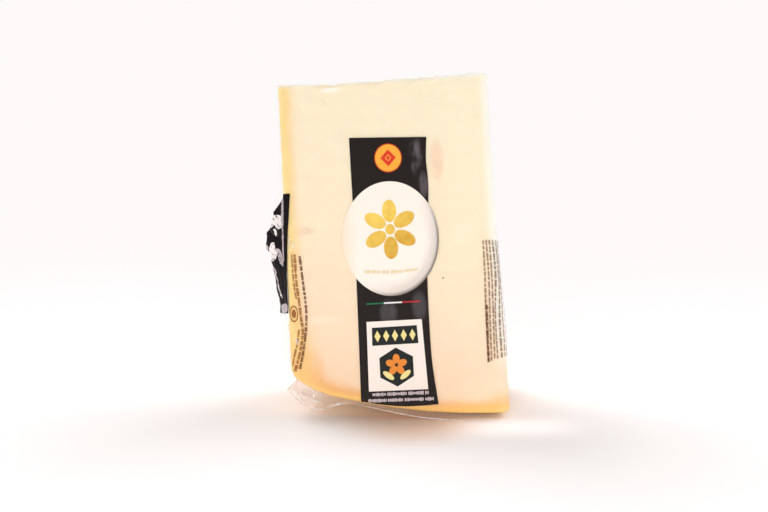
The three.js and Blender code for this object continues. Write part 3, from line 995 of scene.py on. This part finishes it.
def add_panel():
    """A white panel with a dark strip of pale lozenges over a dark six-sided field with an amber flower."""
    white = print_finish("panel white print", srgb(250, 236, 226))
    dark = print_finish("panel dark print", srgb(36, 40, 38))
    pale = print_finish("pale gold print", srgb(238, 222, 150))
    amber = print_finish("amber print", srgb(232, 138, 52))
    add_print("panel", [four_sided(PANEL, 40, 32)], 1, white, closed=False)
    strip = four_sided(PANEL_STRIP, 10, 24)
    field = outline_grid(FIELD_CENTRE, regular(6, FIELD_RADII), rows=8)
    add_piece("panel_fields", [skin(strip, 2), skin(field, 2, True)], dark)
    small = []
    for number in range(BEAD_COUNT):
        place = (FIRST_BEAD[0] + BEAD_STEP * number, FIRST_BEAD[1])
        small.append(outline_grid(place, regular(4, BEAD_RADII)))
    for side in (-1, 1):
        place = (FIELD_CENTRE[0] + side * LEAF_PLACE[0], FIELD_CENTRE[1] + LEAF_PLACE[1])
        small.append(round_grid(place, LEAF_RADII, turn=side * LEAF_TURN, points=20))
    add_print("panel_beads", small, 3, pale)
    middle = (FIELD_CENTRE[0], FIELD_CENTRE[1] - FLOWER_RISE)
    flower = petals(middle, FLOWER_REACH, FLOWER_PETAL_RADII, FLOWER_PETALS, points=24, rows=3)
    add_print("panel_flower", flower, 3, amber)


def right_block():
    """Lines of small print down the right edge of the front, and on round it."""
    sway = np.random.default_rng(59).uniform(-RIGHT_LINE_SWAY, RIGHT_LINE_SWAY, (RIGHT_LINE_COUNT, 2))
    grids = []
    for row in range(RIGHT_LINE_COUNT):
        start = RIGHT_LINE_START[0] - RIGHT_LINE_STEP * row
        end = RIGHT_LINE_END[0] - RIGHT_LINE_STEP * row
        path = [
            (start, RIGHT_LINE_START[1] + 0.1 * row),
            (start + sway[row, 0], 128),
            (start + 0.5 + sway[row, 1], 152),
            (end, RIGHT_LINE_END[1] - 0.5 * row),
        ]
        grids += ticks(path, 1.05 - 0.05 * row, 60 + row, (0.3, 0.5))
    return grids


def add_small_print():
    """Rows of small strokes: pale ones at the foot of the band, brown ones at both edges of the front."""
    pale = print_finish("pale small print", srgb(206, 190, 192))
    brown = print_finish("brown small print", srgb(136, 98, 70))
    dark = print_finish("dark small print", srgb(106, 60, 30))
    amber = print_finish("amber small print", srgb(158, 102, 50))
    faint = print_finish("faint gold print", srgb(238, 218, 176))
    foot = []
    for seed, path in enumerate(FOOT_LINES, 51):
        foot += ticks(path, 1.9, seed, (0.5, 0.85), (6, 14))
    add_print("foot_lines", foot, 1, pale, closed=False)
    under_rosette = ticks(DISC_LINE, 2.0, 53, (0.5, 0.9), (5, 12))
    add_print("disc_line", under_rosette, 2, faint, closed=False)
    add_print("right_lines", right_block(), 0, brown, closed=False)
    left_bold = [skin(grid, 0) for grid in ticks(LEFT_BOLD_LINE, 1.3, 71, bold=0.2)]
    right_bold = [skin(grid, 1) for grid in ticks(RIGHT_BOLD_LINE, 1.2, 74, bold=0.3)]
    add_piece("bold_lines", left_bold + right_bold, dark)
    left = ticks(LEFT_LINE, 1.4, 72, bold=0.2)
    left += ticks(LEFT_UPPER_LINE, 1.0, 73) + ticks(LEFT_LOWER_LINE, 1.0, 75)
    ring = round_grid(RING_CENTRE, RING_RADII, inner=RING_FROM, rows=1, points=32)
    dot = round_grid(RING_CENTRE, RING_DOT_RADII, points=20)
    parts = [skin(grid, 0) for grid in left] + [skin(grid, 0, True) for grid in (ring, dot)]
    add_piece("left_lines", parts, amber)


# Side label, on the loose film of the flat rind: its two edges as radius and distance along the film, how far
# it swells as radius and height, its crumples as height, length and seed, and its fields as outlines. The
# white and grey fields are partly print and partly painted glints and sheen of the crumpled film.
SIDE_LABEL_FRONT = [(77.5, 113.1), (96.7, 115), (111.6, 116.3), (121.5, 117.4), (143, 117.8)]
SIDE_LABEL_BACK = [
    (77, 117.4), (79.5, 118), (82.2, 120.4), (86.7, 123.4),
    (95.5, 125.6), (99.7, 127.5), (102.5, 131), (108, 136),
]
SIDE_SWELL = [
    (77, 0), (90, 0.3), (96, -1.1), (100, -0.2), (104, 1.9), (107, 2.3),
    (109.6, 0.2), (113, 0.6), (117, -0.4), (123, 0.3), (133, -0.2), (143, 0),
]
SIDE_STAND_OFF, SIDE_LIFT = 0.5, 0.15
SIDE_CRUMPLES = [(0.4, 9, 81), (0.15, 4, 82)]
SIDE_WHITE_PRINT_AND_GLINTS = [
    [
        (124, 88.5), (121.1, 88.2), (119.6, 89.8), (118.6, 94.9),
        (121.9, 96.2), (123, 94), (125, 95), (124.6, 92.2),
    ],
    [(123.8, 96), (122.9, 96), (122.1, 99.6), (122.7, 99.4)],
    [
        (126.5, 106.8), (122.9, 103.2), (122.4, 106.6), (122.9, 108.6),
        (124.2, 112.5), (126, 114), (127.6, 113.4), (130, 111),
    ],
    [(127.7, 121), (127.1, 120.8), (126.6, 128), (124.9, 133.6), (126.3, 134.2), (127.4, 128)],
]
SIDE_GREY_PRINT_AND_SHEEN = [
    [(131.5, 104), (127.6, 104.4), (126.8, 107), (130.6, 108)],
    [(123, 107.4), (120.9, 107.6), (120, 116.1), (121.3, 116.4), (122.6, 112.3)],
    [(129.2, 117.2), (127, 117.4), (126.4, 121.2), (128.4, 120.6)],
    [(119, 80), (117.3, 80), (118, 89), (118.7, 99), (119.3, 113), (119.7, 113), (119.3, 99), (119.3, 89)],
    [(127, 138.5), (119.4, 137.6), (119, 142.6), (127.5, 142.4)],
]


def side_relief(along, radius):
    """Crumples of the side label where the film under it is loose, in mm."""
    points = np.stack([along, 0 * along, radius], -1)
    loose = ease(along, HALF_HEIGHT + 1.5, HALF_HEIGHT + 6)
    swell = SIDE_STAND_OFF + np.interp(radius, *np.array(SIDE_SWELL).T)
    crumples = sum(height * folds(points, length, seed) for height, length, seed in SIDE_CRUMPLES)
    return loose * (swell + crumples) + SIDE_LIFT


def side_patch(outline):
    """A torn-looking field of the side label, of print and painted glints."""
    points = np.array(outline)
    closed = np.concatenate([points, points[:1]])
    edge = smooth_line(closed, np.linspace(0, 1, 6 * len(points) + 1))[:-1]
    edge += np.random.default_rng(len(points)).normal(0, 0.16, edge.shape)
    return skin(outline_grid(points.mean(0), edge - points.mean(0), rows=5), 2, True, side_relief)


def add_side_label():
    black = print_finish("side label black", srgb(30, 25, 27), roughness=0.5, coat=0, gloss=0.05)
    white = print_finish("side label white print and painted glints", srgb(246, 236, 233), specks=srgb(70, 62, 66))
    grey = print_finish("side label grey print and painted sheen", srgb(186, 172, 174), specks=srgb(110, 100, 106))
    radii = np.linspace(77.2, 143.2, 133)
    front = np.interp(radii, *np.array(SIDE_LABEL_FRONT).T)
    back = np.interp(radii, *np.array(SIDE_LABEL_BACK).T)
    along = front[:, None] + (back - front)[:, None] * np.linspace(0, 1, 61)[None, :]
    grid = np.stack([along, np.broadcast_to(radii[:, None], along.shape)], -1)
    add_piece("printed_side", [skin(grid, 1, relief=side_relief)], black, "side_label")
    # White and grey fields: print, and painted glints and sheen of the crumpled film.
    add_piece("side_white_print_and_glints", [side_patch(outline) for outline in SIDE_WHITE_PRINT_AND_GLINTS], white)
    add_piece("side_grey_print_and_sheen", [side_patch(outline) for outline in SIDE_GREY_PRINT_AND_SHEEN], grey)


# Floor, light and camera

def floor_finish():
    """Matt, with painted warm light in its colour where light through the cheese would fall, and evenly lit
    further out.
    """
    finish = Finish("pale floor")
    far = finish.measure("LENGTH", finish.place).ease(FLOOR_MATT_TO, FLOOR_RADIUS)
    centred = finish.vectors("SUBTRACT", finish.place, PAINTED_WARM_LIGHT_CENTRE)
    scaled = finish.vectors("MULTIPLY", centred, [1 / radius for radius in PAINTED_WARM_LIGHT_RADII] + [0])
    # Painted warm light: the floor's colour turns warm within this oval.
    painted_warm_light = 1 - finish.measure("LENGTH", scaled).ease(0.2, 1)
    near_colour = finish.mix(painted_warm_light, FLOOR_COLOUR, PAINTED_WARM_LIGHT_COLOUR)
    return finish.surface({
        "Base Color": finish.mix(far, near_colour, (0, 0, 0, 1)),
        "Emission Color": finish.mix(far, (0, 0, 0, 1), WALL_COLOUR),
        "Emission Strength": 1,
        "Roughness": 0.9,
        "Specular IOR Level": 0,
    })


def wall_finish():
    finish = Finish("lit wall")
    lit = finish.node("Emission", {}, {"Color": WALL_COLOUR, "Strength": 1})
    finish.node("OutputMaterial", {}, {"Surface": lit.outputs[0]})
    return finish.holder


def add_stage_ring(name, profile, finish):
    """A surface turned round the vertical, from radii and heights in metres."""
    turns = np.linspace(0, 2 * math.pi, 96, endpoint=False)
    points = [(r * math.cos(t), r * math.sin(t), z) for r, z in profile for t in turns]
    index = np.arange(len(points)).reshape(len(profile), len(turns))
    index = np.hstack([index, index[:, :1]])
    mesh = bpy.data.meshes.new(name)
    mesh.from_pydata(points, [], quads(index)[:, ::-1].tolist())
    mesh.shade_smooth()
    mesh.materials.append(finish)
    ring = bpy.data.objects.new(name, mesh)
    bpy.context.scene.collection.objects.link(ring)
    return ring


def add_stage():
    """A pale floor, and a wall that curves up from it all round, so that no edge of it shows."""
    add_stage_ring("floor", [(1e-4, 0), (FLOOR_MATT_TO, 0), (FLOOR_RADIUS, 0)], floor_finish())
    profile = [(FLOOR_RADIUS, 0)]
    for angle in np.linspace(0, math.pi / 2, 20):
        radius = WALL_FOOT_RADIUS + WALL_BEND * math.sin(angle)
        profile.append((radius, WALL_BEND - WALL_BEND * math.cos(angle)))
    profile.append((WALL_FOOT_RADIUS + WALL_BEND, WALL_BEND + WALL_HEIGHT))
    backdrop = add_stage_ring("backdrop", profile, wall_finish())
    backdrop.visible_diffuse = False
    backdrop.visible_glossy = False
    backdrop.visible_shadow = False


def add_lamp(name, kind, way, strength):
    """A lamp that shines from this direction."""
    data = bpy.data.lights.new(name, kind)
    data.energy = strength
    lamp = bpy.data.objects.new(name, data)
    bpy.context.scene.collection.objects.link(lamp)
    lamp.rotation_euler = Vector(way).to_track_quat("Z", "Y").to_euler()
    lamp.visible_camera = False
    return lamp


def add_softbox(name, place, way, size, power):
    """A lit panel that shows in no reflection."""
    lamp = add_lamp(name, "AREA", way, power)
    lamp.location = place
    lamp.data.shape = "RECTANGLE"
    lamp.data.size, lamp.data.size_y = size
    lamp.visible_glossy = False
    return lamp


def add_light():
    """Soft light from behind and above, a front fill, and a faint glow on the floor by the right foot."""
    world = bpy.data.worlds.new("studio")
    bpy.context.scene.world = world
    sky = Finish(world)
    direction = sky.node("TexCoord", {}, {}).outputs["Generated"]
    backward = sky.measure("DOT_PRODUCT", direction, (0, 1, 0))
    strength = SKY_FRONT + backward.ease(-0.5, 0.5) * (SKY_BACK - SKY_FRONT)
    glow = sky.node("Background", {}, {"Color": (1, 1, 1, 1), "Strength": strength})
    sky.node("OutputWorld", {}, {"Surface": glow.outputs[0]})
    for name, way, power in KEYS:
        add_lamp(name, "SUN", way, power).data.angle = KEY_SPREAD
    add_softbox("fill", FILL_PLACE, np.array(FILL_PLACE) - FILL_AIM, FILL_SIZE, FILL_POWER)
    foot_glow = add_softbox("foot_glow", GLOW_PLACE, (0, 0, 1), GLOW_SIZE, GLOW_POWER).data
    foot_glow.color = GLOW_COLOUR
    foot_glow.spread = GLOW_SPREAD


def add_camera():
    scene = bpy.context.scene
    data = bpy.data.cameras.new("camera")
    data.sensor_width = SENSOR_WIDTH
    data.lens = FOCAL_LENGTH
    data.shift_x = -(TARGET_PIXEL[0] - IMAGE_SIZE[0] / 2) / IMAGE_SIZE[0]
    data.shift_y = (TARGET_PIXEL[1] - IMAGE_SIZE[1] / 2) / IMAGE_SIZE[0]
    camera = bpy.data.objects.new("camera", data)
    scene.collection.objects.link(camera)
    target = Vector((stand(TARGET_ACROSS, 0, TARGET_RADIUS) + PLACE) * MM)
    back = Vector((0, -math.cos(CAMERA_ELEVATION), math.sin(CAMERA_ELEVATION)))
    camera.location = target + back * CAMERA_DISTANCE
    camera.rotation_euler = (-back).to_track_quat("-Z", "Y").to_euler()
    scene.camera = camera
    scene.view_settings.view_transform = "Standard"


add_camera()
add_light()
add_stage()
add_cheese()
add_film()
add_creases(add_film_end())
add_band()
add_disc()
add_seal()
add_rosette()
add_line()
add_panel()
add_small_print()
add_side_label()
